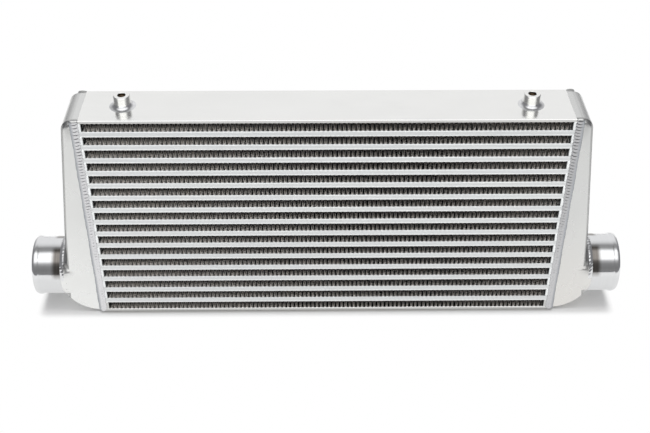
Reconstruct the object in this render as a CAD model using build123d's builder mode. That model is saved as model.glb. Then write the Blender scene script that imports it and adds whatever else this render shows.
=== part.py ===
"""Front-mount air-to-air intercooler: a brazed bar-and-plate core between two welded cast end tanks.

Frame: X runs along the charge air, Y from the front face to the rear, Z up.
The origin is at the centre of the bottom side plate's underside.
"""

from build123d import *

from math import cos, hypot, radians
import os

# Core
core_width = 600.0
core_depth = 70.0
fin_rows = 16
fin_height = 11.2
charge_bar_height = 6.5
parting_sheet = 0.5
side_plate = 4.0
end_bar = 8.0
face_bar = 8.0

# Folded fins, with fewer and wider folds than the finest pressed sheet
air_fin_waves = 16
air_fin_sheet = 0.3
air_fin_setback = 0.5
turbulator_waves = 3
turbulator_sheet = 0.4
turbulator_setback = 3.0

# Cast end tanks
tank_wall = 4.0
tank_drop = 0.7
tank_top_width = 15.0
tank_shoulder_radius = 14.0
tank_waist_width = 34.0
tank_waist_height = 132.0
tank_bottom_radius = 53.0
tank_lip_angle = 35.0
tank_edge_chamfer = 3.5
hood_start = 18.0
hood_height = 90.0
hood_setback = 1.0
hood_flat = 1.5

# Hose pipes
pipe_radius = 38.0
pipe_wall = 2.0
pipe_reach = 85.0
pipe_bead_width = 8.5
pipe_bead_rise = 1.4
neck_lead = 0.1
neck_wall = 2.5
socket_depth = 6.0

# Mounting bosses
boss_inset = 54.0
boss_radius = 10.0
boss_height = 15.0
boss_chamfer = 0.8
thread_radius = 4.25

# Welds
seam_width = 9.5
seam_rise = 1.8
pipe_weld_length = 5.5
boss_weld_leg = 6.0
boss_weld_height = 4.5

# Sizes that follow from those above
passage_height = charge_bar_height + 2 * parting_sheet
row_pitch = fin_height + passage_height
core_height = 2 * side_plate + fin_rows * fin_height + (fin_rows - 1) * passage_height
core_end = core_width / 2
core_face = core_depth / 2
fin_span = core_width - 2 * end_bar
channel_depth = core_depth - 2 * face_bar
tank_top = core_height - tank_drop
pipe_height = tank_bottom_radius
pipe_end = core_end + pipe_reach
tank_reach = tank_bottom_radius * cos(radians(tank_lip_angle))
neck_end = core_end + tank_reach + neck_lead
neck_radius = pipe_radius + neck_wall
pipe_root = neck_end - socket_depth
boss_x = -core_end + boss_inset
pipe_axis = Axis((0, 0, pipe_height), (1, 0, 0))


def row_base(row):
    """Height of the underside of an air row, counted from 0 at the bottom."""
    return side_plate + row * row_pitch


def front_plane(height):
    """Plane that faces the front, its own Y pointing up from the given height."""
    return Plane(origin=(0, 0, height), x_dir=(1, 0, 0), z_dir=(0, -1, 0))


def end_plane(x, height):
    """Plane across the core at x, its own X pointing to the rear and its Y up."""
    return Plane(origin=(x, 0, height), x_dir=(0, 1, 0), z_dir=(1, 0, 0))


def save(piece, name):
    """Labels a finished piece and writes it to its own file."""
    piece.label = name
    export_step(piece, f"parts/{name}.step")


def save_pair(piece, name):
    """Writes a left-hand piece and its mirror image at the other end."""
    save(piece, f"left_{name}")
    save(mirror(piece, about=Plane.YZ), f"right_{name}")


# Brazed core


def corrugation(plane, span, height, waves, sheet, length):
    """Strip of sheet folded to and fro between two flat sheets, its crests touching both."""
    step = span / (2 * waves)
    slant = sheet * hypot(step, height) / step
    upper = [(i * step - span / 2, height if i % 2 else slant) for i in range(2 * waves + 1)]
    lower = [(across, rise - slant) for across, rise in reversed(upper)]
    with BuildPart() as strip:
        with BuildSketch(plane):
            with BuildLine():
                Polyline(*upper, *lower, close=True)
            make_face()
        extrude(amount=length / 2, both=True)
    return strip.part


def end_bars(base):
    """The two bars that close the ends of an air row."""
    with BuildPart() as bars:
        with BuildSketch(Plane.XY.offset(base)):
            with GridLocations(core_width - end_bar, 0, 2, 1):
                Rectangle(end_bar, core_depth)
        extrude(amount=fin_height)
    return bars.part


def charge_passage(base):
    """Flat tube of two parting sheets and two face bars, with the end bars of the row above it."""
    with BuildPart() as passage:
        with BuildSketch(end_plane(0, base)):
            Rectangle(core_depth, passage_height, align=(Align.CENTER, Align.MIN))
            with Locations((0, parting_sheet)):
                Rectangle(
                    channel_depth,
                    charge_bar_height,
                    align=(Align.CENTER, Align.MIN),
                    mode=Mode.SUBTRACT,
                )
        extrude(amount=core_end, both=True)
        add(end_bars(base + passage_height))
    return passage.part


with BuildPart() as bottom_plate:
    with BuildSketch(Plane.XY):
        Rectangle(core_width, core_depth)
    extrude(amount=side_plate)
    add(end_bars(side_plate))

with BuildPart() as top_plate:
    with BuildSketch(Plane.XY.offset(core_height - side_plate)):
        Rectangle(core_width, core_depth)
    extrude(amount=side_plate)


# End tanks, drawn at the left end


def tank_hood(inset):
    """Swelling from the tank's flat sides to its round neck, drawn in by the inset."""
    half_width = core_face - hood_setback - inset
    with BuildPart() as hood:
        with BuildSketch(end_plane(-core_end - hood_start, pipe_height)):
            RectangleRounded(2 * half_width, hood_height - 2 * inset, half_width - hood_flat)
        with BuildSketch(end_plane(-neck_end, pipe_height)):
            Circle(neck_radius - inset)
        loft()
    return hood.part


with BuildPart() as tank_form:
    with BuildSketch(Plane.XZ) as tank_outline:
        with BuildLine():
            top = Line((-core_end + tank_wall, tank_top), (-core_end - tank_top_width, tank_top))
            side = Line(top @ 1, (-core_end - tank_waist_width, tank_waist_height))
            bottom = CenterArc(
                (-core_end, pipe_height),
                tank_bottom_radius,
                180 + tank_lip_angle,
                90 - tank_lip_angle,
            )
            Line(side @ 1, bottom @ 0)
            Polyline(bottom @ 1, (-core_end + tank_wall, 0), top @ 0)
        make_face()
        shoulder = tank_outline.vertices().group_by(Axis.Y)[-1].sort_by(Axis.X)[0]
        fillet(shoulder, tank_shoulder_radius)
    extrude(amount=core_face, both=True)
    rims = tank_form.faces().sort_by(Axis.X)[-1].edges()
    flanks = tank_form.faces().filter_by(Axis.Y)
    outer_edges = [edge for face in flanks for edge in face.edges() if edge not in rims]
    chamfer(outer_edges, tank_edge_chamfer)

with BuildPart() as left_end_tank:
    add(tank_form.part)
    split(bisect_by=Plane.YZ.offset(-core_end), keep=Keep.BOTTOM)
    add(tank_hood(0))
    with BuildSketch(Plane.XZ):
        add(tank_outline.sketch)
        offset(amount=-tank_wall, mode=Mode.REPLACE)
    extrude(amount=core_face - tank_wall, both=True, mode=Mode.SUBTRACT)
    add(tank_hood(tank_wall), mode=Mode.SUBTRACT)
    with BuildSketch(end_plane(-neck_end, pipe_height)):
        Circle(pipe_radius)
    extrude(amount=socket_depth, mode=Mode.SUBTRACT)

# Hose pipes

with BuildPart() as left_hose_pipe:
    with BuildSketch(front_plane(pipe_height)):
        with BuildLine():
            Polyline(
                (-pipe_root, pipe_radius - pipe_wall),
                (-pipe_end, pipe_radius - pipe_wall),
                (-pipe_end, pipe_radius),
                (-pipe_end + pipe_bead_width / 2, pipe_radius + pipe_bead_rise),
                (-pipe_end + pipe_bead_width, pipe_radius),
                (-pipe_root, pipe_radius),
                close=True,
            )
        make_face()
    revolve(axis=pipe_axis)

# Mounting bosses

with BuildPart() as left_mounting_boss:
    with BuildSketch(Plane(origin=(boss_x, 0, core_height))):
        Circle(boss_radius)
        Circle(thread_radius, mode=Mode.SUBTRACT)
    extrude(amount=boss_height)
    top_rims = left_mounting_boss.edges().filter_by(GeomType.CIRCLE).group_by(Axis.Z)[-1]
    chamfer(top_rims.sort_by(SortBy.RADIUS)[-1], boss_chamfer)

# Welds

with BuildPart() as core_block:
    with BuildSketch(Plane.XY):
        Rectangle(core_width, core_depth)
    extrude(amount=core_height)

with BuildPart() as left_tank_weld:
    with BuildSketch(end_plane(-core_end, 0)):
        Rectangle(core_depth + 2 * seam_rise, core_height, align=(Align.CENTER, Align.MIN))
    extrude(amount=seam_width / 2, both=True)
    crown = left_tank_weld.faces().filter_by(Axis.X)
    base = left_tank_weld.faces().sort_by(Axis.Z)[0].edges()
    brims = [edge for face in crown for edge in face.edges() if edge not in base]
    chamfer(brims, seam_rise)
    add(core_block.part, mode=Mode.SUBTRACT)
    add(tank_form.part, mode=Mode.SUBTRACT)

with BuildPart() as left_pipe_weld:
    with BuildSketch(front_plane(pipe_height)):
        with BuildLine():
            Polyline(
                (-neck_end - pipe_weld_length, pipe_radius),
                (-neck_end, pipe_radius),
                (-neck_end, neck_radius),
                close=True,
            )
        make_face()
    revolve(axis=pipe_axis)

with BuildPart() as left_boss_weld:
    with BuildSketch(front_plane(core_height)):
        with BuildLine():
            Polyline(
                (boss_x - boss_radius, boss_weld_height),
                (boss_x - boss_radius, 0),
                (boss_x - boss_radius - boss_weld_leg, 0),
                close=True,
            )
        make_face()
    revolve(axis=Axis((boss_x, 0, 0), (0, 0, 1)))

os.makedirs("parts", exist_ok=True)

save(bottom_plate.part, "bottom_plate")
save(top_plate.part, "top_plate")

for row in range(fin_rows):
    fin = corrugation(
        front_plane(row_base(row)),
        fin_span,
        fin_height,
        air_fin_waves,
        air_fin_sheet,
        core_depth - 2 * air_fin_setback,
    )
    save(fin, f"air_fin_{row + 1:02d}")

for row in range(fin_rows - 1):
    floor = row_base(row) + fin_height
    save(charge_passage(floor), f"charge_passage_{row + 1:02d}")
    turbulator = corrugation(
        end_plane(0, floor + parting_sheet),
        channel_depth,
        charge_bar_height,
        turbulator_waves,
        turbulator_sheet,
        core_width - 2 * turbulator_setback,
    )
    save(turbulator, f"turbulator_{row + 1:02d}")

save_pair(left_end_tank.part, "end_tank")
save_pair(left_hose_pipe.part, "hose_pipe")
save_pair(left_mounting_boss.part, "mounting_boss")
save_pair(left_tank_weld.part, "tank_weld")
save_pair(left_pipe_weld.part, "pipe_weld")
save_pair(left_boss_weld.part, "boss_weld")
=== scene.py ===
"""Dresses the intercooler's frame with its fine fins, rippled welds, threads, finishes and studio."""

import math

import bmesh
import bpy
from mathutils import Matrix, Vector


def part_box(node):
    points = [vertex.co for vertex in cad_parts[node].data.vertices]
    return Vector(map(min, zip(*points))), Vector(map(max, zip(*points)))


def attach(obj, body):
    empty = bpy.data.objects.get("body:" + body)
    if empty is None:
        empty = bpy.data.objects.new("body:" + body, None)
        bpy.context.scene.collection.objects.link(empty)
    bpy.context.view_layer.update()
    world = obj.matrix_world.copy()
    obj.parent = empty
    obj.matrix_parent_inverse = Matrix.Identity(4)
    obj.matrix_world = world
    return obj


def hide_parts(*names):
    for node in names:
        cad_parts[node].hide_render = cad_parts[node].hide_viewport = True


bl_info = {
    "name": "Intercooler dressing",
    "version": (1, 0, 0),
    "blender": (4, 5, 0),
    "location": "View3D > Sidebar > Intercooler",
    "description": "Finished pieces, metals and studio for a bar-and-plate intercooler",
    "category": "Object",
}

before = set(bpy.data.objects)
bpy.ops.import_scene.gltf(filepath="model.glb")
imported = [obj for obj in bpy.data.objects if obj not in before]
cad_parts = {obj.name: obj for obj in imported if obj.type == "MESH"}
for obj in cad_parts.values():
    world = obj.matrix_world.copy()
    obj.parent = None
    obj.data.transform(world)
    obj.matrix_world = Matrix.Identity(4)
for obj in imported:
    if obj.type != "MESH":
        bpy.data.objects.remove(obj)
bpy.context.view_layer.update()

SIDES = {"left": -1, "right": 1}
FIN_ROWS = [name for name in sorted(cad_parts) if name.startswith("air_fin_")]
PASSAGES = [name for name in sorted(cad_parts) if name.startswith("charge_passage_")]
TURBULATORS = [name for name in sorted(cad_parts) if name.startswith("turbulator_")]

# Places and sizes of the frame's own pieces, in metres. The core is centred on x = 0 and y = 0.
PLATE_LOW, PLATE_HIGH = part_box("top_plate")
CORE_END, CORE_FACE, CORE_TOP = PLATE_HIGH
PLATE = PLATE_HIGH[2] - PLATE_LOW[2]
FIN_LOW, FIN_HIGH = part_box(FIN_ROWS[0])
FIN_HEIGHT = FIN_HIGH[2] - FIN_LOW[2]
ROW_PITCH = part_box(FIN_ROWS[1])[0][2] - FIN_LOW[2]
END_BAR = CORE_END - FIN_HIGH[0]
PIPE_LOW, PIPE_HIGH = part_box("right_hose_pipe")
PIPE_END = PIPE_HIGH[0]
PIPE_AXIS = (PIPE_LOW[2] + PIPE_HIGH[2]) / 2
BEAD_RADIUS = (PIPE_HIGH[2] - PIPE_LOW[2]) / 2
TANK_DROP = CORE_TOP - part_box("right_end_tank")[1][2]
BOSS_LOW, BOSS_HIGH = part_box("right_mounting_boss")
BOSS_RADIUS = (BOSS_HIGH[0] - BOSS_LOW[0]) / 2


# Properties


class FinSettings(bpy.types.PropertyGroup):
    """Sizes of the folded air fins."""

    waves: bpy.props.IntProperty(
        name="Waves", description="Folds along one air row", default=105, min=20, max=160
    )
    sheet: bpy.props.FloatProperty(
        name="Sheet", description="Thickness of the fin sheet", default=0.00066, unit="LENGTH"
    )
    fold: bpy.props.FloatProperty(
        name="Fold", description="Width of the flat at each crest", default=0.0021, unit="LENGTH"
    )
    sway: bpy.props.FloatProperty(
        name="Sway", description="How far a fin waves to each side in depth", default=0.0005, unit="LENGTH"
    )
    end_gap: bpy.props.FloatProperty(
        name="End gap", description="Gap between a fin and the end bars", default=0.0016, unit="LENGTH"
    )
    setback: bpy.props.FloatProperty(
        name="Setback", description="Depth of a fine fin behind the plain one", default=0.0004, unit="LENGTH"
    )


class CoreSettings(bpy.types.PropertyGroup):
    """Sizes of the bars and plates that show at the core's faces."""

    sheet: bpy.props.FloatProperty(
        name="Sheet", description="Thickness of a parting sheet", default=0.0005, unit="LENGTH"
    )
    bar_depth: bpy.props.FloatProperty(
        name="Bar depth", description="Depth of a face bar", default=0.008, unit="LENGTH"
    )
    sheet_setback: bpy.props.FloatProperty(
        name="Sheet setback", description="Depth of a sheet behind the bars", default=0.0006, unit="LENGTH"
    )
    edge: bpy.props.FloatProperty(
        name="Edge", description="Rounding of bar edges", default=0.0006, unit="LENGTH"
    )
    plate_edge: bpy.props.FloatProperty(
        name="Plate edge", description="Rounding of the side plates", default=0.0006, unit="LENGTH"
    )


class PipeSettings(bpy.types.PropertyGroup):
    """Sizes of the hose pipes."""

    radius: bpy.props.FloatProperty(
        name="Radius", description="Outside radius of the tube", default=0.038, unit="LENGTH"
    )
    bore: bpy.props.FloatProperty(
        name="Bore", description="Inside radius of the tube", default=0.036, unit="LENGTH"
    )
    bead: bpy.props.FloatProperty(
        name="Bead", description="Width of the rolled bead at the mouth", default=0.0085, unit="LENGTH"
    )
    lip: bpy.props.FloatProperty(
        name="Lip", description="Chamfer of the mouth's inner edge", default=0.0004, unit="LENGTH"
    )


class BossSettings(bpy.types.PropertyGroup):
    """Sizes of the mounting bosses."""

    hole: bpy.props.FloatProperty(
        name="Hole", description="Radius inside the thread's crests", default=0.00425, unit="LENGTH"
    )
    thread: bpy.props.FloatProperty(
        name="Thread", description="Depth of the thread", default=0.00055, unit="LENGTH"
    )
    pitch: bpy.props.FloatProperty(
        name="Pitch", description="Rise of the thread in one turn", default=0.0015, unit="LENGTH"
    )
    bevel: bpy.props.FloatProperty(
        name="Bevel", description="Bevel of the top edge", default=0.0008, unit="LENGTH"
    )


class WeldSettings(bpy.types.PropertyGroup):
    """Sizes of the weld beads."""

    width: bpy.props.FloatProperty(
        name="Width", description="Width of the tank seam", default=0.0098, unit="LENGTH"
    )
    rise: bpy.props.FloatProperty(
        name="Rise", description="Height of the tank seam", default=0.0018, unit="LENGTH"
    )
    ripple: bpy.props.FloatProperty(
        name="Ripple", description="Distance from one ripple to the next", default=0.0045, unit="LENGTH"
    )
    relief: bpy.props.FloatProperty(
        name="Relief", description="Depth of the ripples", default=0.0007, unit="LENGTH"
    )
    root: bpy.props.FloatProperty(
        name="Root", description="Reach of a bead into the corner under it", default=0.003, unit="LENGTH"
    )
    corner: bpy.props.FloatProperty(
        name="Corner", description="Radius of the seam over the core's edge", default=0.0015, unit="LENGTH"
    )


class FinishSettings(bpy.types.PropertyGroup):
    """Colours of the metals."""

    plate: bpy.props.FloatVectorProperty(
        name="Plate", description="Rolled side plate", default=(0.895, 0.895, 0.875), size=3, subtype="COLOR"
    )
    bar: bpy.props.FloatVectorProperty(
        name="Bar", description="Brazed bars", default=(0.77, 0.785, 0.785), size=3, subtype="COLOR"
    )
    fin: bpy.props.FloatVectorProperty(
        name="Fin", description="Fin sheet in the core", default=(0.6, 0.56, 0.53), size=3, subtype="COLOR"
    )
    # The fin edge colour is a lighter, painted-light copy of the fin colour.
    lit_fin_edge: bpy.props.FloatVectorProperty(
        name="Fin edge", description="Cut fin edges", default=(0.84, 0.81, 0.78), size=3, subtype="COLOR"
    )
    tank: bpy.props.FloatVectorProperty(
        name="Tank", description="Sanded casting", default=(0.86, 0.865, 0.85), size=3, subtype="COLOR"
    )
    pipe: bpy.props.FloatVectorProperty(
        name="Pipe", description="Polished tube", default=(0.78, 0.785, 0.79), size=3, subtype="COLOR"
    )
    weld: bpy.props.FloatVectorProperty(
        name="Weld", description="Weld metal", default=(0.64, 0.64, 0.65), size=3, subtype="COLOR"
    )
    # Dark brown of the faces inside the boss holes.
    thread_colour: bpy.props.FloatVectorProperty(
        name="Oil", description="Oiled threads", default=(0.12, 0.085, 0.055), size=3, subtype="COLOR"
    )


class StudioSettings(bpy.types.PropertyGroup):
    """Light, floor and lens of the studio."""

    lamp_power: bpy.props.FloatProperty(
        name="Lamp power", description="Power of the softbox overhead", default=34.0, unit="POWER"
    )
    card_strength: bpy.props.FloatProperty(
        name="Card strength", description="Brightness of the strip card, 1 being white", default=1.4
    )
    floor: bpy.props.FloatVectorProperty(
        name="Floor", description="Pale floor", default=(0.9, 0.9, 0.895), size=3, subtype="COLOR"
    )
    # Painted contact shadow: the floor colour under and just round the core.
    contact_shadow: bpy.props.FloatVectorProperty(
        name="Contact", description="Floor under the core", default=(0.4, 0.39, 0.38), size=3, subtype="COLOR"
    )
    far_floor: bpy.props.FloatVectorProperty(
        name="Far floor", description="Floor far ahead", default=(0.25, 0.25, 0.26), size=3, subtype="COLOR"
    )
    lens: bpy.props.FloatProperty(
        name="Lens", description="Focal length of the camera", default=59.5, unit="CAMERA"
    )


# Meshes


def shown_object(name, bm, materials):
    """Puts a bmesh into the scene as an object at the origin."""
    mesh = bpy.data.meshes.new(name)
    bm.to_mesh(mesh)
    bm.free()
    for material in materials:
        mesh.materials.append(material)
    shown = bpy.data.objects.new(name, mesh)
    bpy.context.scene.collection.objects.link(shown)
    return shown


def finish_piece(name, bm, materials, node, smooth=35.0):
    """Turns a bmesh into a shown piece that stands for a node, smooth up to an angle in degrees."""
    bmesh.ops.recalc_face_normals(bm, faces=bm.faces)
    if bm.calc_volume(signed=True) < 0:
        bmesh.ops.reverse_faces(bm, faces=bm.faces)
    piece = shown_object(name, bm, materials)
    if smooth:
        piece.data.shade_smooth()
        piece.data.set_sharp_from_angle(angle=math.radians(smooth))
    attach(piece, "root")
    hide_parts(node)
    return piece


def add_block(bm, low, high, edge=0.0):
    """Adds a box between two corners, its edges bevelled a little."""
    middle = (Vector(low) + Vector(high)) / 2
    size = Vector(high) - Vector(low)
    place = Matrix.Translation(middle) @ Matrix.Diagonal(size.to_4d())
    made = bmesh.ops.create_cube(bm, size=1.0, matrix=place)
    if edge:
        edges = list({e for v in made["verts"] for e in v.link_edges})
        bmesh.ops.bevel(
            bm,
            geom=edges,
            offset=edge,
            offset_type="OFFSET",
            affect="EDGES",
            segments=1,
            profile=0.5,
            material=-1,
        )


def add_turned(bm, profile, centre, axis, steps):
    """Spins a closed profile of points a full turn about an axis."""
    corners = [bm.verts.new(point) for point in profile]
    edges = [bm.edges.new(pair) for pair in zip(corners, corners[1:] + corners[:1])]
    bmesh.ops.spin(
        bm,
        geom=corners + edges,
        cent=centre,
        axis=axis,
        dvec=(0, 0, 0),
        angle=2 * math.pi,
        steps=steps,
        use_merge=True,
        use_duplicate=False,
    )


def arc_points(centre, radius, start, end, count):
    """Points along an arc, angles in degrees."""
    steps = [math.radians(start + (end - start) * i / (count - 1)) for i in range(count)]
    return [(centre[0] + radius * math.cos(a), centre[1] + radius * math.sin(a)) for a in steps]


def clamped(value, low=0.0, high=1.0):
    """A value held between two limits."""
    return min(high, max(low, value))


# Core


def fin_piece(name, material, fins):
    """One air row's fin: a sheet folded into steep flat-topped waves, swaying a little in depth."""
    low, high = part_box(name)
    span = high[0] - low[0] - 2 * (fins.sway + fins.end_gap)
    depth = high[1] - low[1] - 2 * fins.setback
    step = span / (2 * fins.waves)
    columns = 4 * fins.waves
    layers = 8
    bm = bmesh.new()
    bmesh.ops.create_grid(bm, x_segments=columns, y_segments=layers, size=0.5)
    for v in bm.verts:
        column = round((v.co.x + 0.5) * columns)
        layer = round((v.co.y + 0.5) * layers)
        crest = column // 2
        v.co.x = crest * step - span / 2 + (fins.fold if column % 2 else 0)
        v.co.x += fins.sway if layer % 2 else -fins.sway
        v.co.y *= depth
        v.co.z = high[2] - fins.sheet / 2 if crest % 2 else low[2] + fins.sheet / 2
    bmesh.ops.solidify(bm, geom=bm.faces[:], thickness=fins.sheet)
    bmesh.ops.triangulate(bm, faces=[f for f in bm.faces if len(f.verts) > 4])
    return finish_piece(f"{name}_fine", bm, [material], name, smooth=0)


def add_end_bars(bm, low, high, foot, edge):
    """Adds the two end bars that stand on a passage or on the bottom plate."""
    for end in (low[0], high[0] - END_BAR):
        add_block(bm, (end, low[1], foot), (end + END_BAR, high[1], high[2]), edge)


def passage_piece(name, material, core):
    """Two parting sheets with the face bars between them, and the end bars standing on top."""
    low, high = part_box(name)
    floor = low[2]
    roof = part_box(name.replace("charge_passage", "turbulator"))[1][2] + core.sheet
    inner = core.sheet_setback
    bm = bmesh.new()
    for bottom in (floor, roof - core.sheet):
        add_block(bm, (low[0], low[1] + inner, bottom), (high[0], high[1] - inner, bottom + core.sheet))
    for front in (low[1], high[1] - core.bar_depth):
        bar_low = (low[0], front, floor + core.sheet)
        bar_high = (high[0], front + core.bar_depth, roof - core.sheet)
        add_block(bm, bar_low, bar_high, core.edge)
    add_end_bars(bm, low, high, roof, core.edge)
    return finish_piece(f"{name}_bars", bm, [material], name, smooth=0)


def plate_piece(name, material, core):
    """A side plate, and on the bottom one the end bars of the lowest row."""
    low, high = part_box(name)
    face = low[2] + PLATE
    bm = bmesh.new()
    add_block(bm, low, (high[0], high[1], face), core.plate_edge)
    if high[2] > face + core.edge:
        add_end_bars(bm, low, high, face, core.edge)
    return finish_piece(f"{name}_rolled", bm, [material], name, smooth=0)


# Tanks and pipes


def tank_piece(name, material):
    """The cast tank, its facets merged and its edges shaded round."""
    merge_distance = 2e-6
    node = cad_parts[name]
    bm = bmesh.new()
    bm.from_mesh(node.data)
    bmesh.ops.transform(bm, matrix=node.matrix_world, verts=bm.verts)
    bmesh.ops.remove_doubles(bm, verts=bm.verts, dist=merge_distance)
    piece = finish_piece(f"{name}_cast", bm, [material], name, smooth=50.0)
    rounding = piece.modifiers.new("rounding", "WEIGHTED_NORMAL")
    rounding.mode = "FACE_AREA"
    rounding.weight = 90
    rounding.keep_sharp = True
    return piece


def pipe_profile(sign, pipes):
    """Section through the pipe's wall, with its rolled bead and chamfered mouth."""
    root = PIPE_LOW[0] * sign
    end = PIPE_END * sign
    rise = BEAD_RADIUS - pipes.radius
    radius = ((pipes.bead / 2) ** 2 + rise**2) / (2 * rise)
    sweep = math.degrees(math.asin(pipes.bead / 2 / radius))
    centre = (end - sign * pipes.bead / 2, BEAD_RADIUS - radius)
    hump = arc_points(centre, radius, 90 - sweep, 90 + sweep, 9)
    if sign < 0:
        hump = hump[::-1]
    points = [(root, pipes.bore), (end - sign * pipes.lip, pipes.bore), (end, pipes.bore + pipes.lip)]
    points += [(end, hump[0][1] - pipes.lip / 2)] + hump + [(root, pipes.radius)]
    return [(x, 0.0, PIPE_AXIS + r) for x, r in points]


def pipe_piece(side, material, pipes):
    """The hose pipe, turned about its own axis."""
    bm = bmesh.new()
    add_turned(bm, pipe_profile(SIDES[side], pipes), (0, 0, PIPE_AXIS), (1, 0, 0), steps=96)
    name = f"{side}_hose_pipe"
    return finish_piece(f"{name}_polished", bm, [material], name, smooth=40.0)


# Bosses


def add_thread(bm, x, foot, turns, bosses):
    """Winds a thread's ridge up a hole from its foot."""
    turn_steps = 40
    outer = bosses.hole + bosses.thread
    width = bosses.pitch * 0.9
    ridge = [(outer, 0.0), (outer, width), (bosses.hole, width / 2)]
    corners = [bm.verts.new((x + r, 0.0, foot + z)) for r, z in ridge]
    face = bm.faces.new(corners)
    steps = turns * turn_steps
    bmesh.ops.spin(
        bm,
        geom=[face] + corners + list(face.edges),
        cent=(x, 0, 0),
        axis=(0, 0, 1),
        dvec=(0, 0, turns * bosses.pitch / steps),
        angle=2 * math.pi * turns,
        steps=steps,
        use_merge=False,
        use_duplicate=False,
    )


def boss_piece(side, material, thread_dark, bosses):
    """A turned boss with a threaded hole, the faces inside the hole dark brown."""
    name = f"{side}_mounting_boss"
    low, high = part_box(name)
    x = (low[0] + high[0]) / 2
    bore = bosses.hole + bosses.thread
    bevel = bosses.bevel
    section = [(bore, low[2]), (BOSS_RADIUS, low[2]), (BOSS_RADIUS, high[2] - bevel)]
    section += [(BOSS_RADIUS - bevel, high[2]), (bore + bevel / 2, high[2]), (bore, high[2] - bevel / 2)]
    bm = bmesh.new()
    add_turned(bm, [(x + r, 0.0, z) for r, z in section], (x, 0, 0), (0, 0, 1), steps=64)
    turns = int((high[2] - low[2] - bevel) / bosses.pitch) - 1
    add_thread(bm, x, low[2], turns, bosses)
    # The faces inside the hole take the dark brown thread colour.
    inside = bore + 0.0001
    for face in bm.faces:
        if all(math.hypot(v.co.x - x, v.co.y) < inside for v in face.verts):
            face.material_index = 1
    return finish_piece(f"{name}_turned", bm, [material, thread_dark], name)


# Welds


def ripple_height(along, across, welds, seed):
    """Height of a bead for a place along it and -1 to 1 across it, its ripples deepest on the core's half."""
    bow = 0.0032
    wobble = 0.0012 * math.sin(along * 83 + seed)
    crown = math.sqrt(max(0.0, 1 - across * across))
    phase = (along + bow * crown + wobble) / welds.ripple
    step = phase - math.floor(phase)
    scallop = step * (2 - step)
    drift = 0.06 * math.sin(along * 310 + seed) + 0.05 * math.sin(along * 127 + 2 * seed)
    depth = welds.relief * clamped(0.6 - across, low=0.15)
    return crown * ((1 + drift) * welds.rise - depth * (1 - scallop))


def bead_width(along, across, welds, seed):
    """How much wider or narrower than usual a bead is at a place, its core side scalloped."""
    wander = 1 + 0.05 * math.sin(along * 95 + seed) + 0.03 * math.sin(along * 411 + seed)
    if across < 0:
        wander += 0.13 * abs(math.sin(math.pi * along / welds.ripple + seed))
    return wander


def add_bead(bm, length, place, welds, seed):
    """Adds one rippled bead; place maps (along, across, height) to a point."""
    lanes = 12
    ripple_steps = 8
    taper = 0.004
    segments = round(length / welds.ripple * ripple_steps)
    base = bmesh.ops.create_grid(bm, x_segments=segments, y_segments=lanes, size=0.5)["verts"]
    faces = list({f for v in base for f in v.link_faces})
    skirt = bmesh.ops.extrude_face_region(bm, geom=faces)
    skin = {g for g in skirt["geom"] if isinstance(g, bmesh.types.BMVert)}
    for v in [*base, *skin]:
        along = (v.co.x + 0.5) * length
        across = v.co.y * 2
        width = bead_width(along, across, welds, seed) * welds.width
        fade = math.sqrt(clamped(min(along, length - along) / taper, low=0.15))
        height = ripple_height(along, across, welds, seed) * fade if v in skin else -welds.root
        v.co = place(along, across * width * fade / 2, height)


def seam_place(side, welds):
    """The tank seam's length, and its path up the front, flush over the top and down the rear."""
    sign = SIDES[side]
    corner = welds.corner
    rise = CORE_TOP - corner
    turn = corner * math.pi / 2
    length = 2 * (rise + turn + CORE_FACE - corner)
    grinding_run = 0.006
    left_standing = 0.05

    def place(along, across, height):
        rear = along > length / 2
        along = length - along if rear else along
        if along < rise:
            y, z, out, up = -CORE_FACE, along, -1.0, 0.0
        elif along < rise + turn:
            angle = (along - rise) / corner
            out, up = -math.cos(angle), math.sin(angle)
            y, z = corner - CORE_FACE + corner * out, rise + corner * up
        else:
            y, z, out, up = along - rise - turn + corner - CORE_FACE, CORE_TOP, 0.0, 1.0
        slope = clamped(2 * across / welds.width)
        ground = clamped((along - rise) / grinding_run)
        if height > 0:
            flush = left_standing * height - TANK_DROP * slope * slope * (3 - 2 * slope)
            height += ground * (flush - height)
        y += out * height
        return (sign * (CORE_END + across), -y if rear else y, z + up * height)

    return length, place


def tank_weld_piece(side, material, sanded, welds):
    """The seam between core and tank: beads up the front and rear, sanded flush on the top."""
    name = f"{side}_tank_weld"
    length, place = seam_place(side, welds)
    bm = bmesh.new()
    add_bead(bm, length, place, welds, SIDES[side])
    flush = 0.001
    for face in bm.faces:
        if min(v.co.z for v in face.verts) > CORE_TOP - flush:
            face.material_index = 1
    return finish_piece(f"{name}_rippled", bm, [material, sanded], name, smooth=60.0)


def ring_weld_piece(name, materials, profile, centre, axis, welds, radius, blend):
    """A bead turned round a pipe or boss, rippled above the blend height and sanded smooth below it."""
    ripple_steps = 6
    fade_in = 0.012
    lean = 160
    relief = 0.8 * welds.relief
    root = radius + 0.0002
    bm = bmesh.new()
    count = round(2 * math.pi * radius / welds.ripple)
    add_turned(bm, profile, centre, axis, count * ripple_steps)
    middle = Vector(centre)
    direction = Vector(axis)
    lying = abs(direction.x) > 0.5
    for v in bm.verts:
        arm = v.co - middle
        along = arm.dot(direction)
        radial = arm - direction * along
        if radial.length > root and v.co.z > blend:
            flat = radial.normalized()
            angle = math.atan2(flat.z, flat.y) if lying else math.atan2(flat.y, flat.x)
            phase = angle / (2 * math.pi) * count + along * lean
            step = phase - math.floor(phase)
            rise = min(1.0, (v.co.z - blend) / fade_in)
            v.co -= flat * relief * rise * (1 - step * (2 - step))
    for face in bm.faces:
        if face.calc_center_median().z < blend:
            face.material_index = 1
    return finish_piece(f"{name}_rippled", bm, materials, name, smooth=60.0)


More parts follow.
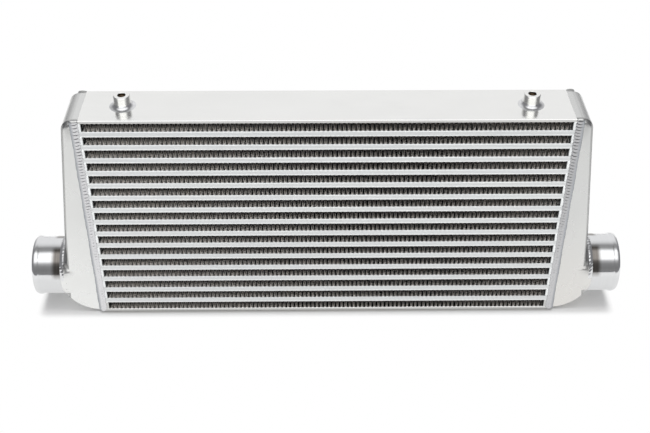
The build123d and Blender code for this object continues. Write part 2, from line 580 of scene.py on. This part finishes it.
def pipe_weld_piece(side, materials, welds, radius):
    """The ring between the tank's neck and the pipe."""
    sign = SIDES[side]
    name = f"{side}_pipe_weld"
    low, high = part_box(name)
    inner = (low if sign > 0 else high)[0]
    outer = (high if sign > 0 else low)[0]
    neck = (high[2] - low[2]) / 2
    bulge = 0.00072
    steps = 7
    profile = [(inner, 0.0, PIPE_AXIS + radius)]
    for i in range(steps):
        t = i / (steps - 1)
        height = neck + (radius - neck) * t + bulge * math.sin(math.pi * t)
        profile.append((inner + (outer - inner) * t, 0.0, PIPE_AXIS + height))
    centre = (0, 0, PIPE_AXIS)
    blend = PIPE_AXIS + 0.004
    return ring_weld_piece(name, materials, profile, centre, (1, 0, 0), welds, radius, blend)


def boss_weld_piece(side, materials, welds):
    """The hollow fillet round a boss."""
    name = f"{side}_boss_weld"
    low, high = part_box(name)
    x = (low[0] + high[0]) / 2
    foot = low[2]
    reach = (high[0] - low[0]) / 2
    hollow = 0.0006
    steps = 7
    profile = [(x + BOSS_RADIUS, 0.0, foot)]
    for i in range(steps):
        t = i / (steps - 1)
        sag = hollow * math.sin(math.pi * t)
        profile.append((x + reach + (BOSS_RADIUS - reach) * t - sag, 0.0, foot + (high[2] - foot) * t - sag))
    return ring_weld_piece(name, materials, profile, (x, 0, foot), (0, 0, 1), welds, BOSS_RADIUS, foot)


# Nodes


def feed(tree, socket, value):
    """Feeds a socket from another node, or sets it to a plain value."""
    if isinstance(value, bpy.types.NodeSocket):
        tree.links.new(value, socket)
    else:
        socket.default_value = value


def computed(tree, operation, *values):
    """The result of a maths node on other nodes' values or plain numbers."""
    node = tree.nodes.new("ShaderNodeMath")
    node.operation = operation
    for socket, value in zip(node.inputs, values):
        feed(tree, socket, value)
    return node.outputs["Value"]


def vector_computed(tree, operation, *values):
    """The result of a vector maths node: a number for a length, and otherwise a vector."""
    node = tree.nodes.new("ShaderNodeVectorMath")
    node.operation = operation
    for socket, value in zip(node.inputs, values):
        feed(tree, socket, value)
    return node.outputs["Value" if operation == "LENGTH" else "Vector"]


def multiplied(tree, *values):
    """The product of two or more values."""
    product = values[0]
    for value in values[1:]:
        product = computed(tree, "MULTIPLY", product, value)
    return product


def coordinate(tree, place, axis):
    """One coordinate of a place."""
    split = tree.nodes.new("ShaderNodeSeparateXYZ")
    tree.links.new(place, split.inputs["Vector"])
    return split.outputs[axis]


def away_from(tree, place, axis):
    """Distance from the middle along one axis."""
    return computed(tree, "ABSOLUTE", coordinate(tree, place, axis))


def ranged(tree, value, start, end, easing="LINEAR"):
    """Where a value lies between two limits, from 0 to 1."""
    node = tree.nodes.new("ShaderNodeMapRange")
    node.interpolation_type = easing
    node.inputs["From Min"].default_value = start
    node.inputs["From Max"].default_value = end
    tree.links.new(value, node.inputs["Value"])
    return node.outputs["Result"]


def eased(tree, value, start, end):
    """Where a value lies between two limits, from 0 to 1, starting and ending softly."""
    return ranged(tree, value, start, end, "SMOOTHSTEP")


def ramp_along(tree, place, axis, start, end):
    """A 0 to 1 value that rises from start to end along one axis."""
    return ranged(tree, coordinate(tree, place, axis), start, end)


def stretched_noise(tree, place, scale, detail=4.0, roughness=0.55):
    """Noise that is stretched by its own scale on each axis."""
    mapping = tree.nodes.new("ShaderNodeMapping")
    mapping.inputs["Scale"].default_value = scale
    noise = tree.nodes.new("ShaderNodeTexNoise")
    noise.inputs["Scale"].default_value = 1.0
    noise.inputs["Detail"].default_value = detail
    noise.inputs["Roughness"].default_value = roughness
    tree.links.new(place, mapping.inputs["Vector"])
    tree.links.new(mapping.outputs["Vector"], noise.inputs["Vector"])
    return noise.outputs["Fac"]


def spread(tree, noise, low, high):
    """Maps the middle range of a noise onto low to high."""
    node = tree.nodes.new("ShaderNodeMapRange")
    node.inputs["From Min"].default_value = 0.3
    node.inputs["From Max"].default_value = 0.7
    node.inputs["To Min"].default_value = low
    node.inputs["To Max"].default_value = high
    tree.links.new(noise, node.inputs["Value"])
    return node.outputs["Result"]


def shade(colour, factor):
    """A colour made darker or lighter, each channel kept to 1 at most."""
    return tuple(min(1.0, channel * factor) for channel in colour)


def blended(tree, value, first, second):
    """Mixes two colours, each a node's output or a tuple, by a 0 to 1 value."""
    node = tree.nodes.new("ShaderNodeMix")
    node.data_type = "RGBA"
    for socket, colour in (("A", first), ("B", second)):
        if isinstance(colour, bpy.types.NodeSocket):
            tree.links.new(colour, node.inputs[socket])
        else:
            node.inputs[socket].default_value = (*colour, 1)
    tree.links.new(value, node.inputs["Factor"])
    return node.outputs["Result"]


def toned(tree, value, colour, first, second):
    """One colour between two shades of itself, by a 0 to 1 value."""
    return blended(tree, value, shade(colour, first), shade(colour, second))


def roughen(tree, shader, value, strength, distance):
    """Bumps the shader's surface with a value."""
    bump = tree.nodes.new("ShaderNodeBump")
    bump.inputs["Strength"].default_value = strength
    bump.inputs["Distance"].default_value = distance
    tree.links.new(value, bump.inputs["Height"])
    tree.links.new(bump.outputs["Normal"], shader.inputs["Normal"])


def row_height(tree, place):
    """A place's height, brought down by whole rows to the lowest row of fin and bars."""
    return computed(tree, "WRAP", coordinate(tree, place, "Z"), PLATE + ROW_PITCH, PLATE)


# Materials


def metal(name, colour, roughness):
    """A bare metal, and the nodes to build on: material, tree, shader and object coordinates."""
    material = bpy.data.materials.new(name)
    material.use_nodes = True
    tree = material.node_tree
    shader = tree.nodes["Principled BSDF"]
    shader.inputs["Base Color"].default_value = (*colour, 1)
    shader.inputs["Metallic"].default_value = 1.0
    shader.inputs["Roughness"].default_value = roughness
    place = tree.nodes.new("ShaderNodeTexCoord").outputs["Object"]
    return material, tree, shader, place


def rolled_plate_metal(colour):
    """Rolled plate: glossy, with long faint rolling streaks, soft mottling and a front face painted darker as
    shade.
    """
    material, tree, shader, place = metal("rolled_plate", colour, 0.2)
    streaks = stretched_noise(tree, place, (9, 260, 260))
    clouds = stretched_noise(tree, place, (14, 26, 26))
    tree.links.new(spread(tree, streaks, 0.12, 0.24), shader.inputs["Roughness"])
    mottled = toned(tree, clouds, colour, 0.95, 1.04)
    # Painted shade: the plate's front face is darkened to 0.68 of the plate colour.
    front = ramp_along(tree, place, "Y", 0.0003 - CORE_FACE, 0.0001 - CORE_FACE)
    tree.links.new(blended(tree, front, mottled, shade(colour, 0.68)), shader.inputs["Base Color"])
    roughen(tree, shader, streaks, 0.05, 0.0002)
    return material


def brazed_bar_metal(colour):
    """Brazed bars: streaks along the bar, fine speckle and a painted highlight along each bar's lower edge.
    """
    material, tree, shader, place = metal("brazed_bar", colour, 0.34)
    streaks = stretched_noise(tree, place, (26, 300, 900))
    speckle = stretched_noise(tree, place, (420, 420, 420), 2.0)
    tree.links.new(spread(tree, streaks, 0.24, 0.42), shader.inputs["Roughness"])
    streaky = toned(tree, streaks, colour, 0.8, 1.08)
    speckled = blended(tree, speckle, streaky, shade(colour, 0.94))
    # Painted highlight: the lowest few millimetres of each bar are lightened to 1.22 of the bar colour.
    bar_foot = PLATE + FIN_HEIGHT
    lower_edge_highlight = eased(tree, row_height(tree, place), bar_foot + 0.0028, bar_foot + 0.0012)
    tree.links.new(blended(tree, lower_edge_highlight, speckled, shade(colour, 1.22)), shader.inputs["Base Color"])
    roughen(tree, shader, streaks, 0.15, 0.0002)
    return material


def fin_metal(inside, edge):
    """Fin sheet: painted shade inside the core and under each bar, painted light on the front edges and at
    the foot of each row, all mottled by noise.
    """
    material, tree, shader, place = metal("air_fin_sheet", inside, 0.55)
    shader.inputs["Metallic"].default_value = 0.45
    # Painted light and shade: the fin's front edge takes the lighter edge colour, the sheet behind it a
    # darkened copy of the fin colour.
    edge_start = CORE_FACE - 0.0019
    edge_end = CORE_FACE - 0.0011
    cut_edge = eased(tree, away_from(tree, place, "Y"), edge_start, edge_end)
    shade_mottle = stretched_noise(tree, place, (160, 90, 160), 2.0)
    painted_dark = toned(tree, shade_mottle, inside, 0.3, 0.6)
    lit_edge = toned(tree, shade_mottle, edge, 0.95, 1.18)
    lit = blended(tree, cut_edge, painted_dark, lit_edge)
    # Painted shade darkens the upper part of each row under the bar above, and painted light brightens the
    # foot of each row.
    height = row_height(tree, place)
    under_bar_shade = eased(tree, height, PLATE + 0.2 * FIN_HEIGHT, PLATE + 0.88 * FIN_HEIGHT)
    foot = eased(tree, height, PLATE + 0.65 * FIN_HEIGHT, PLATE + 0.1 * FIN_HEIGHT)
    lit_foot = blended(tree, foot, lit, shade(edge, 1.2))
    shaded = blended(tree, cut_edge, shade(inside, 0.04), shade(edge, 0.5))
    tree.links.new(blended(tree, under_bar_shade, lit_foot, shaded), shader.inputs["Base Color"])
    return material


def shoulder_shade_mask(tree, place):
    """1 on the rounded shoulder at the top of each tank, where a dark reflection is painted, 0 elsewhere."""
    reach = away_from(tree, place, "X")
    past_seam = eased(tree, reach, CORE_END + 0.001, CORE_END + 0.006)
    short_of_side = eased(tree, reach, CORE_END + 0.015, CORE_END + 0.008)
    crest = ramp_along(tree, place, "Z", CORE_TOP - 0.03, CORE_TOP - 0.012)
    return multiplied(tree, past_seam, short_of_side, crest)


def edge_shade_mask(tree, place):
    """1 on the rounded edges just behind the tanks' front and back faces, where a dark reflection is painted,
    0 elsewhere.
    """
    depth = away_from(tree, place, "Y")
    behind_face = eased(tree, depth, CORE_FACE - 0.0001, CORE_FACE - 0.0008)
    before_side = eased(tree, depth, CORE_FACE - 0.006, CORE_FACE - 0.0035)
    return multiplied(tree, behind_face, before_side)


def sanded_casting_metal(colour):
    """Cast tanks, sanded satin: painted lighter low down as light from the floor, the right one darker and
    warmer, with dark reflections painted on the rounded shoulders and edges.
    """
    material, tree, shader, place = metal("sanded_casting", colour, 0.3)
    grain = stretched_noise(tree, place, (700, 700, 120), 5.0, 0.65)
    clouds = stretched_noise(tree, place, (28, 28, 16), 3.0)
    tree.links.new(spread(tree, clouds, 0.2, 0.32), shader.inputs["Roughness"])
    # Painted light: each tank is lighter low down, near the floor.
    climb = ramp_along(tree, place, "Z", 0.0, 0.16)
    left_lit_low = toned(tree, clouds, colour, 1.0, 1.09)
    left_high = toned(tree, clouds, colour, 0.8, 0.9)
    right_lit_low = blended(tree, clouds, (0.77, 0.755, 0.725), (0.84, 0.825, 0.795))
    right_high = toned(tree, clouds, colour, 0.74, 0.82)
    left = blended(tree, climb, left_lit_low, left_high)
    right = blended(tree, climb, right_lit_low, right_high)
    sides = blended(tree, ramp_along(tree, place, "X", -CORE_END, CORE_END), left, right)
    # Painted dark reflections on the rounded shoulders and on the edges behind the front and back faces.
    rolled = blended(tree, shoulder_shade_mask(tree, place), sides, shade(colour, 0.66))
    edge_shaded = blended(tree, edge_shade_mask(tree, place), rolled, shade(colour, 0.5))
    tree.links.new(edge_shaded, shader.inputs["Base Color"])
    roughen(tree, shader, grain, 0.1, 0.00015)
    return material


def weld_side_reflection(tree, place, upper, radius):
    """1 where a dark reflection of the tank's side is painted on the upper half of a pipe beside its weld, 0
    elsewhere.
    """
    weld_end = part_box("right_pipe_weld")[1][0]
    beside = eased(tree, away_from(tree, place, "X"), weld_end + 0.013, weld_end + 0.006)
    below_crown = ramp_along(tree, place, "Z", PIPE_AXIS + radius - 0.0008, PIPE_AXIS + radius - 0.0025)
    return multiplied(tree, beside, upper, below_crown)


def polished_pipe_metal(colour, radius):
    """Polished tube with faint turning lines round it, painted lighter above and darker below as light and
    shade, with a dark reflection of the tank's side painted beside its weld.
    """
    material, tree, shader, place = metal("polished_pipe", colour, 0.12)
    lines = stretched_noise(tree, place, (1500, 8, 8), 3.0)
    clouds = stretched_noise(tree, place, (60, 40, 40), 2.0)
    tree.links.new(spread(tree, clouds, 0.08, 0.18), shader.inputs["Roughness"])
    # Painted light and shade: the upper half of each pipe is lighter than the lower half.
    upper = ramp_along(tree, place, "Z", PIPE_AXIS + 0.004, PIPE_AXIS + 0.013)
    low = toned(tree, lines, colour, 0.87, 0.99)
    high = toned(tree, lines, colour, 0.93, 1.06)
    streaky = blended(tree, upper, low, high)
    # Painted dark reflection of the tank's side, on the upper half beside the weld.
    shade_mottle = blended(tree, lines, (0.13, 0.12, 0.11), (0.28, 0.26, 0.24))
    painted_dark = blended(tree, weld_side_reflection(tree, place, upper, radius), streaky, shade_mottle)
    tree.links.new(painted_dark, shader.inputs["Base Color"])
    roughen(tree, shader, lines, 0.02, 0.0001)
    return material


def weld_metal(colour):
    """Weld metal of the tank seams: painted lighter toward the floor as light, darker on the right, and
    painted darker and cooler toward the tanks as a dark reflection.
    """
    material, tree, shader, place = metal("weld_metal", colour, 0.26)
    spots = stretched_noise(tree, place, (240, 240, 240))
    tree.links.new(spread(tree, spots, 0.16, 0.3), shader.inputs["Roughness"])
    across = ramp_along(tree, place, "X", -CORE_END, CORE_END)
    left_high = toned(tree, spots, colour, 0.95, 1.14)
    right_high = toned(tree, spots, colour, 0.68, 0.84)
    left_lit_low = toned(tree, spots, colour, 1.1, 1.29)
    right_lit_low = toned(tree, spots, colour, 0.87, 1.03)
    high = blended(tree, across, left_high, right_high)
    low = blended(tree, across, left_lit_low, right_lit_low)
    # Painted light: the seams are lighter toward the floor.
    plain = blended(tree, ramp_along(tree, place, "Z", 0.06, 0.2), low, high)
    # Painted dark reflection: the half of each seam toward its tank is darker and cooler.
    tank_side_shade = (colour[0] * 0.6, colour[1] * 0.625, colour[2] * 0.65)
    outward = eased(tree, away_from(tree, place, "X"), CORE_END, CORE_END + 0.004)
    tree.links.new(blended(tree, outward, plain, tank_side_shade), shader.inputs["Base Color"])
    roughen(tree, shader, spots, 0.08, 0.0002)
    return material


def shiny_weld_metal(colour):
    """The small ring welds: bright and glassy, with dull patches."""
    material, tree, shader, place = metal("shiny_weld_metal", colour, 0.12)
    patches = stretched_noise(tree, place, (150, 150, 150), 2.0)
    tree.links.new(spread(tree, patches, 0.06, 0.2), shader.inputs["Roughness"])
    tree.links.new(toned(tree, patches, colour, 0.75, 1.15), shader.inputs["Base Color"])
    roughen(tree, shader, patches, 0.25, 0.0006)
    return material


def turned_boss_metal(colour):
    """Turned bar with fine tool lines."""
    material, tree, shader, place = metal("turned_boss", colour, 0.2)
    lines = stretched_noise(tree, place, (30, 30, 2600), 2.0)
    tree.links.new(spread(tree, lines, 0.14, 0.28), shader.inputs["Roughness"])
    roughen(tree, shader, lines, 0.1, 0.0001)
    return material


# Operators


class INTERCOOLER_OT_side_plates(bpy.types.Operator):
    """Rolls the top and bottom side plates"""

    bl_idname = "intercooler.side_plates"
    bl_label = "Side plates"

    def execute(self, context):
        material = rolled_plate_metal(context.scene.intercooler_finish.plate)
        for name in ("top_plate", "bottom_plate"):
            plate_piece(name, material, context.scene.intercooler_core)
        return {"FINISHED"}


class INTERCOOLER_OT_charge_passages(bpy.types.Operator):
    """Stacks the bars and parting sheets of the charge passages"""

    bl_idname = "intercooler.charge_passages"
    bl_label = "Charge passages"

    def execute(self, context):
        material = brazed_bar_metal(context.scene.intercooler_finish.bar)
        for name in PASSAGES:
            passage_piece(name, material, context.scene.intercooler_core)
        return {"FINISHED"}


class INTERCOOLER_OT_fins(bpy.types.Operator):
    """Folds the air fins and finishes the turbulators"""

    bl_idname = "intercooler.fins"
    bl_label = "Fins"

    def execute(self, context):
        finish = context.scene.intercooler_finish
        material = fin_metal(finish.fin, finish.lit_fin_edge)
        for name in FIN_ROWS:
            fin_piece(name, material, context.scene.intercooler_fins)
        for name in TURBULATORS:
            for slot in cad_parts[name].material_slots:
                slot.material = material
        return {"FINISHED"}


class INTERCOOLER_OT_end_tanks(bpy.types.Operator):
    """Finishes the two cast end tanks"""

    bl_idname = "intercooler.end_tanks"
    bl_label = "End tanks"

    def execute(self, context):
        material = sanded_casting_metal(context.scene.intercooler_finish.tank)
        for side in SIDES:
            tank_piece(f"{side}_end_tank", material)
        return {"FINISHED"}


class INTERCOOLER_OT_hose_pipes(bpy.types.Operator):
    """Turns and polishes the hose pipes"""

    bl_idname = "intercooler.hose_pipes"
    bl_label = "Hose pipes"

    def execute(self, context):
        pipes = context.scene.intercooler_pipes
        material = polished_pipe_metal(context.scene.intercooler_finish.pipe, pipes.radius)
        for side in SIDES:
            pipe_piece(side, material, pipes)
        return {"FINISHED"}


class INTERCOOLER_OT_bosses(bpy.types.Operator):
    """Turns and threads the mounting bosses"""

    bl_idname = "intercooler.bosses"
    bl_label = "Mounting bosses"

    def execute(self, context):
        finish = context.scene.intercooler_finish
        material = turned_boss_metal(finish.plate)
        thread_dark = metal("dark_thread_metal", finish.thread_colour, 0.4)[0]
        for side in SIDES:
            boss_piece(side, material, thread_dark, context.scene.intercooler_bosses)
        return {"FINISHED"}


class INTERCOOLER_OT_welds(bpy.types.Operator):
    """Lays the weld beads of tanks, pipes and bosses"""

    bl_idname = "intercooler.welds"
    bl_label = "Welds"

    def execute(self, context):
        finish = context.scene.intercooler_finish
        welds = context.scene.intercooler_welds
        material = weld_metal(finish.weld)
        shiny = shiny_weld_metal(finish.pipe)
        sanded = bpy.data.materials["sanded_casting"]
        for side in SIDES:
            tank_weld_piece(side, material, sanded, welds)
            pipe_weld_piece(side, (shiny, sanded), welds, context.scene.intercooler_pipes.radius)
            boss_weld_piece(side, (shiny, sanded), welds)
        return {"FINISHED"}


class INTERCOOLER_OT_studio(bpy.types.Operator):
    """Sets the floor, the light and the camera"""

    bl_idname = "intercooler.studio"
    bl_label = "Studio"

    def execute(self, context):
        studio = context.scene.intercooler_studio
        add_floor(studio)
        add_world(context)
        add_softbox(context, studio.lamp_power)
        add_strip_card(studio.card_strength)
        add_camera(context, studio.lens)
        return {"FINISHED"}


# Studio


def empty_tree(block):
    """The node tree of a material or world, with its nodes cleared."""
    block.use_nodes = True
    block.node_tree.nodes.clear()
    return block.node_tree


def output_shader(tree, output, shader):
    """Ends a tree in a shader."""
    tree.links.new(shader, tree.nodes.new(output).inputs["Surface"])


def matt_shader(tree, colour):
    """A matt surface of a colour, which is a node's output or a tuple."""
    matt = tree.nodes.new("ShaderNodeBsdfDiffuse")
    feed(tree, matt.inputs["Color"], colour)
    return matt.outputs["BSDF"]


def mixed_shaders(tree, share, first, second):
    """Mixes two shaders by the second one's share."""
    node = tree.nodes.new("ShaderNodeMixShader")
    tree.links.new(share, node.inputs["Fac"])
    tree.links.new(first, node.inputs[1])
    tree.links.new(second, node.inputs[2])
    return node.outputs["Shader"]


def outside_box(tree, place, half_size):
    """How far a point lies outside a box round the origin."""
    gap = vector_computed(tree, "SUBTRACT", vector_computed(tree, "ABSOLUTE", place), half_size)
    return vector_computed(tree, "LENGTH", vector_computed(tree, "MAXIMUM", gap, (0, 0, 0)))


def floor_material(studio):
    """Matt floor with a painted contact shadow round the core, white to the camera, pale to reflections near
    the object and dark to them far in front.
    """
    material = bpy.data.materials.new("pale_floor")
    tree = empty_tree(material)
    place = tree.nodes.new("ShaderNodeTexCoord").outputs["Object"]
    rays = tree.nodes.new("ShaderNodeLightPath").outputs
    contact_line = 0.006
    reflected_glow = 0.75
    under = outside_box(tree, place, (CORE_END, CORE_FACE, 0))
    away = outside_box(tree, place, (PIPE_END - 0.01, CORE_FACE, 0))
    # Painted contact shadow: the floor fades from the contact colour under the core to the floor colour over
    # a few millimetres.
    clear_of_core = eased(tree, under, 0.0, contact_line)
    matt = matt_shader(tree, blended(tree, clear_of_core, studio.contact_shadow, studio.floor))
    straight = multiplied(tree, rays["Is Camera Ray"], eased(tree, away, 0.003, 0.015))
    mirrored = multiplied(tree, rays["Is Glossy Ray"], eased(tree, away, 0.3, 0.0))
    share = computed(tree, "MULTIPLY_ADD", mirrored, reflected_glow, straight)
    glow = tree.nodes.new("ShaderNodeEmission").outputs["Emission"]
    near_floor = mixed_shaders(tree, share, matt, glow)
    far = eased(tree, away, 0.5, 1.3)
    in_front = ramp_along(tree, place, "Y", 0.2, -0.2)
    dark_share = multiplied(tree, rays["Is Glossy Ray"], far, in_front)
    dark = matt_shader(tree, (*studio.far_floor, 1))
    output_shader(tree, "ShaderNodeOutputMaterial", mixed_shaders(tree, dark_share, near_floor, dark))
    return material


def add_floor(studio):
    """A wide pale floor that keeps the object's shadow, just under the object's foot."""
    half_width = 12.0
    gap = 0.0005
    bm = bmesh.new()
    bmesh.ops.create_grid(bm, x_segments=1, y_segments=1, size=half_width)
    bmesh.ops.translate(bm, vec=(0, 0, -gap), verts=bm.verts)
    shown_object("floor", bm, [floor_material(studio)])


# Brightness of the room by angle: 0 degrees is level in front, 90 straight up, 180 level behind.
ROOM_BANDS = (
    (0.0, 0.26),
    (14.4, 0.22),
    (30.6, 0.27),
    (41.4, 0.5),
    (50.4, 1.35),
    (81.0, 1.45),
    (93.6, 0.35),
    (108.0, 0.3),
    (122.4, 0.8),
    (135.0, 0.92),
    (180.0, 0.92),
)


def add_world(context):
    """A room with a bright box high in front, a pale sweep behind and dim sides, white to the camera."""
    dim_side = (0.24, 0.24, 0.25)
    blue_tint = 1.01
    world = bpy.data.worlds.new("studio_room")
    context.scene.world = world
    tree = empty_tree(world)
    direction = tree.nodes.new("ShaderNodeTexCoord").outputs["Generated"]
    toward = computed(tree, "MULTIPLY", coordinate(tree, direction, "Y"), -1)
    tilt = computed(tree, "ARCTAN2", coordinate(tree, direction, "Z"), toward)
    bands = tree.nodes.new("ShaderNodeValToRGB")
    ramp = bands.color_ramp
    while len(ramp.elements) < len(ROOM_BANDS):
        ramp.elements.new(0.5)
    for element, (angle, level) in zip(ramp.elements, ROOM_BANDS):
        element.position = angle / 180
        element.color = (level, level, level * blue_tint, 1)
    tree.links.new(ranged(tree, tilt, 0.0, math.pi), bands.inputs["Fac"])
    flank = ranged(tree, away_from(tree, direction, "X"), 0.35, 0.8)
    room = tree.nodes.new("ShaderNodeBackground")
    tree.links.new(blended(tree, flank, bands.outputs["Color"], dim_side), room.inputs["Color"])
    white = tree.nodes.new("ShaderNodeBackground")
    white.inputs["Color"].default_value = (1.0, 1.0, 1.0, 1)
    seen = tree.nodes.new("ShaderNodeLightPath").outputs["Is Camera Ray"]
    shown = mixed_shaders(tree, seen, room.outputs["Background"], white.outputs["Background"])
    output_shader(tree, "ShaderNodeOutputWorld", shown)


def add_strip_card(strength):
    """A bright card above the front edge that only reflections show, for the turned bosses."""
    material = bpy.data.materials.new("bright_card")
    tree = empty_tree(material)
    glow = tree.nodes.new("ShaderNodeEmission")
    glow.inputs["Strength"].default_value = strength
    output_shader(tree, "ShaderNodeOutputMaterial", glow.outputs["Emission"])
    width = 1.04
    depth = 0.11
    tilt = Matrix.Rotation(math.radians(60), 3, "X")
    place = (0, -0.25, 0.445)
    bm = bmesh.new()
    bmesh.ops.create_grid(bm, x_segments=1, y_segments=1, size=0.5)
    bmesh.ops.scale(bm, vec=(width, depth, 1), verts=bm.verts)
    bmesh.ops.rotate(bm, cent=(0, 0, 0), matrix=tilt, verts=bm.verts)
    bmesh.ops.translate(bm, vec=place, verts=bm.verts)
    card = shown_object("strip_card", bm, [material])
    card.visible_camera = False
    card.visible_diffuse = False
    card.visible_shadow = False


def add_softbox(context, power):
    """One broad soft lamp overhead, aimed at the middle of the core."""
    light = bpy.data.lights.new("softbox", "AREA")
    light.shape = "RECTANGLE"
    light.size = 2.4
    light.size_y = 1.4
    light.energy = power
    lamp = bpy.data.objects.new("softbox", light)
    lamp.location = (0, 0.2, 2.2)
    lamp.visible_glossy = False
    target = Vector((0, 0, 0.15))
    aim = target - lamp.location
    lamp.rotation_euler = aim.to_track_quat("-Z", "Y").to_euler()
    context.scene.collection.objects.link(lamp)


def add_camera(context, lens):
    """A short telephoto view from the front, looking down on the core."""
    camera = bpy.data.cameras.new("camera")
    camera.sensor_width = 36.0
    camera.lens = lens
    camera.clip_start = 0.01
    camera.clip_end = 60.0
    holder = bpy.data.objects.new("camera", camera)
    place = Matrix.Translation((-0.0178, -1.1125, 0.9744))
    yaw = Matrix.Rotation(math.radians(-0.799), 4, "Z")
    pitch = Matrix.Rotation(math.radians(90 - 37.158), 4, "X")
    roll = Matrix.Rotation(math.radians(0.211), 4, "Z")
    holder.matrix_world = place @ yaw @ pitch @ roll
    context.scene.collection.objects.link(holder)
    context.scene.camera = holder
    context.scene.view_settings.view_transform = "Standard"


# Sidebar

OPERATORS = (
    INTERCOOLER_OT_side_plates,
    INTERCOOLER_OT_charge_passages,
    INTERCOOLER_OT_fins,
    INTERCOOLER_OT_end_tanks,
    INTERCOOLER_OT_hose_pipes,
    INTERCOOLER_OT_bosses,
    INTERCOOLER_OT_welds,
    INTERCOOLER_OT_studio,
)
SETTINGS = {
    "intercooler_fins": FinSettings,
    "intercooler_core": CoreSettings,
    "intercooler_pipes": PipeSettings,
    "intercooler_bosses": BossSettings,
    "intercooler_welds": WeldSettings,
    "intercooler_finish": FinishSettings,
    "intercooler_studio": StudioSettings,
}


class INTERCOOLER_PT_panel(bpy.types.Panel):
    """Lists the settings and the operators that make the pieces."""

    bl_label = "Intercooler"
    bl_idname = "INTERCOOLER_PT_panel"
    bl_space_type = "VIEW_3D"
    bl_region_type = "UI"
    bl_category = "Intercooler"

    def draw(self, context):
        for name, group in SETTINGS.items():
            box = self.layout.box()
            for prop in group.__annotations__:
                box.prop(getattr(context.scene, name), prop)
        for operator in OPERATORS:
            self.layout.operator(operator.bl_idname)


def register():
    for group in SETTINGS.values():
        bpy.utils.register_class(group)
    for name, group in SETTINGS.items():
        setattr(bpy.types.Scene, name, bpy.props.PointerProperty(type=group))
    for operator in OPERATORS:
        bpy.utils.register_class(operator)
    bpy.utils.register_class(INTERCOOLER_PT_panel)


def unregister():
    bpy.utils.unregister_class(INTERCOOLER_PT_panel)
    for operator in reversed(OPERATORS):
        bpy.utils.unregister_class(operator)
    for name in SETTINGS:
        delattr(bpy.types.Scene, name)
    for group in SETTINGS.values():
        bpy.utils.unregister_class(group)


def main():
    """Builds every piece and the studio."""
    register()
    bpy.ops.intercooler.side_plates()
    bpy.ops.intercooler.charge_passages()
    bpy.ops.intercooler.fins()
    bpy.ops.intercooler.end_tanks()
    bpy.ops.intercooler.hose_pipes()
    bpy.ops.intercooler.bosses()
    bpy.ops.intercooler.welds()
    bpy.ops.intercooler.studio()


if __name__ == "__main__":
    main()
